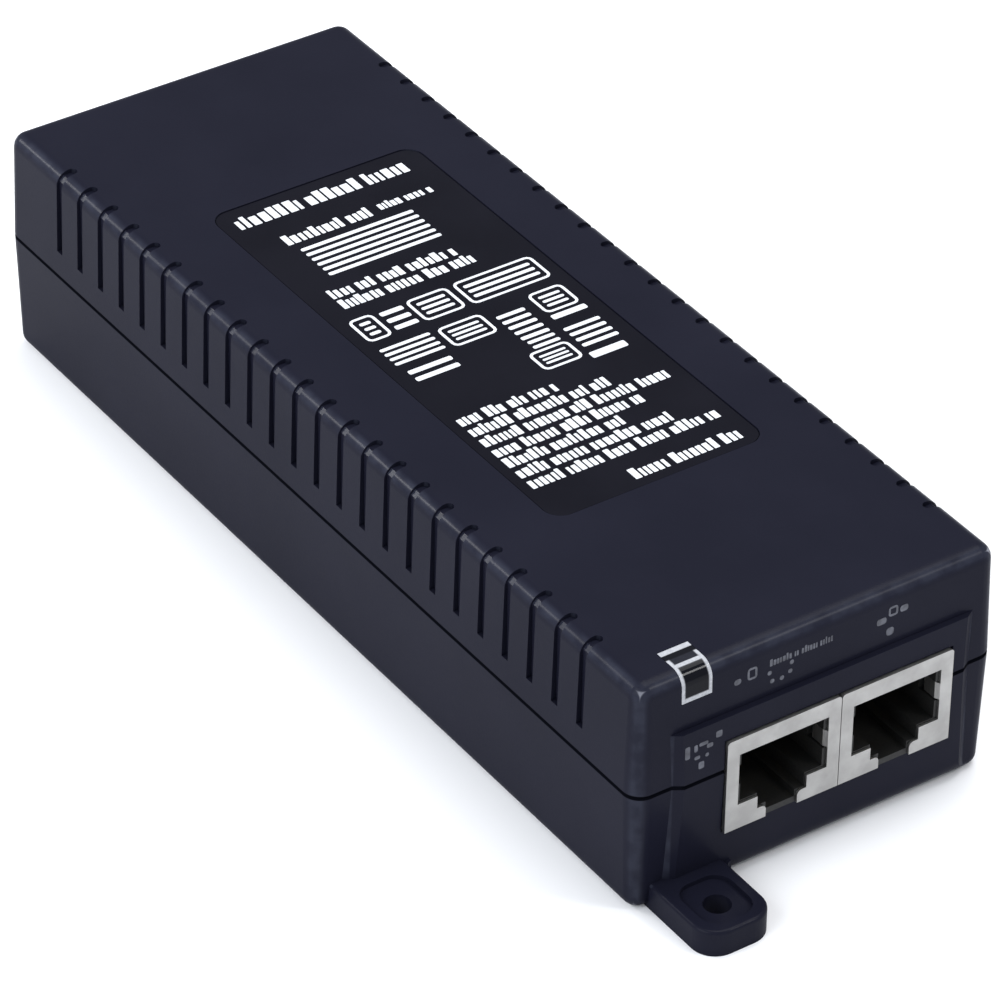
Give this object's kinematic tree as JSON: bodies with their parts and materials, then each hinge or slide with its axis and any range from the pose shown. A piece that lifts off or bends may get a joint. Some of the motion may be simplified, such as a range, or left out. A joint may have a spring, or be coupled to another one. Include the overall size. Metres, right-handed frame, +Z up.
{
  "type": "power over ethernet injector",
  "caption": "Slim two-piece plastic case with side grooves, paired shielded network sockets at one end, a mains inlet at the other, a status window, a top label and screw ears.",
  "frame": {"origin": "bottom centre of the whole object, on the surface it stands on", "axes": "+X out of the end with the two network sockets, +Z up"},
  "size_m": [0.167, 0.053, 0.033],
  "materials": {
    "case_plastic": "fine-textured black moulded plastic with a faint blue tint",
    "label_film": null,
    "clear_plastic": "clear polished plastic",
    "nickel_sheet": "satin nickel-plated sheet",
    "jack_plastic": "black moulded plastic",
    "contact_gold": "gold-plated spring wire",
    "inlet_plastic": "black moulded plastic",
    "blade_metal": "nickel-plated brass",
    "board_laminate": "green solder resist over glass laminate",
    "led_body": "white package with a clear lens",
    "screw_steel": "zinc-plated steel",
    "insulator_film": "translucent amber film",
    "fuse_glass": "clear glass tube",
    "cap_metal": "nickel-plated caps",
    "clip_metal": "tinned spring metal",
    "thermistor_coat": "dark green lacquer",
    "varistor_coat": "blue epoxy",
    "x_capacitor_case": "yellow box",
    "y_capacitor_coat": "light blue epoxy",
    "ferrite": "dark grey sintered ferrite",
    "bobbin_plastic": "black moulded plastic",
    "copper_wire": "enamelled copper",
    "epoxy_black": "moulded epoxy",
    "can_sleeve": "dark sleeve with a bare vented top",
    "sink_aluminium": "extruded",
    "winding_tape": "yellow polyester tape"
  },
  "bodies": {
    "root": {"upper_shell": "case_plastic", "lower_shell": "case_plastic", "case_screws": "screw_steel", "top_label": "label_film", "light_pipe": "clear_plastic", "status_leds": "led_body", "ac_inlet_housing": "inlet_plastic", "ac_inlet_blades": "blade_metal", "circuit_board": "board_laminate", "board_screws": "screw_steel", "insulator_sheet": "insulator_film", "fuse_glass": "fuse_glass", "fuse_caps": "cap_metal", "fuse_clips": "clip_metal", "inrush_thermistor": "thermistor_coat", "varistor": "varistor_coat", "x_capacitor": "x_capacitor_case", "y_capacitor_1": "y_capacitor_coat", "y_capacitor_2": "y_capacitor_coat", "choke_core": "ferrite", "choke_base": "bobbin_plastic", "choke_winding_1": "copper_wire", "choke_winding_2": "copper_wire", "bridge_rectifier": "epoxy_black", "bulk_capacitor": "can_sleeve", "primary_heat_sink": "sink_aluminium", "switching_transistor": "epoxy_black", "secondary_heat_sink": "sink_aluminium", "output_diode": "epoxy_black", "heat_sink_screws": "screw_steel", "transformer_core_lower": "ferrite", "transformer_core_upper": "ferrite", "transformer_bobbin": "bobbin_plastic", "transformer_winding": "winding_tape", "pwm_controller": "epoxy_black", "optocoupler_1": "epoxy_black", "optocoupler_2": "epoxy_black", "output_capacitor_1": "can_sleeve", "output_capacitor_2": "can_sleeve", "inductor_core": "ferrite", "inductor_winding": "copper_wire", "poe_controller": "epoxy_black", "lan_transformer_1": "epoxy_black", "lan_transformer_2": "epoxy_black", "data_in_jack_shield": "nickel_sheet", "data_in_jack_housing": "jack_plastic", "data_in_jack_contacts": "contact_gold", "power_out_jack_shield": "nickel_sheet", "power_out_jack_housing": "jack_plastic", "power_out_jack_contacts": "contact_gold"}
  },
  "joints": []
}
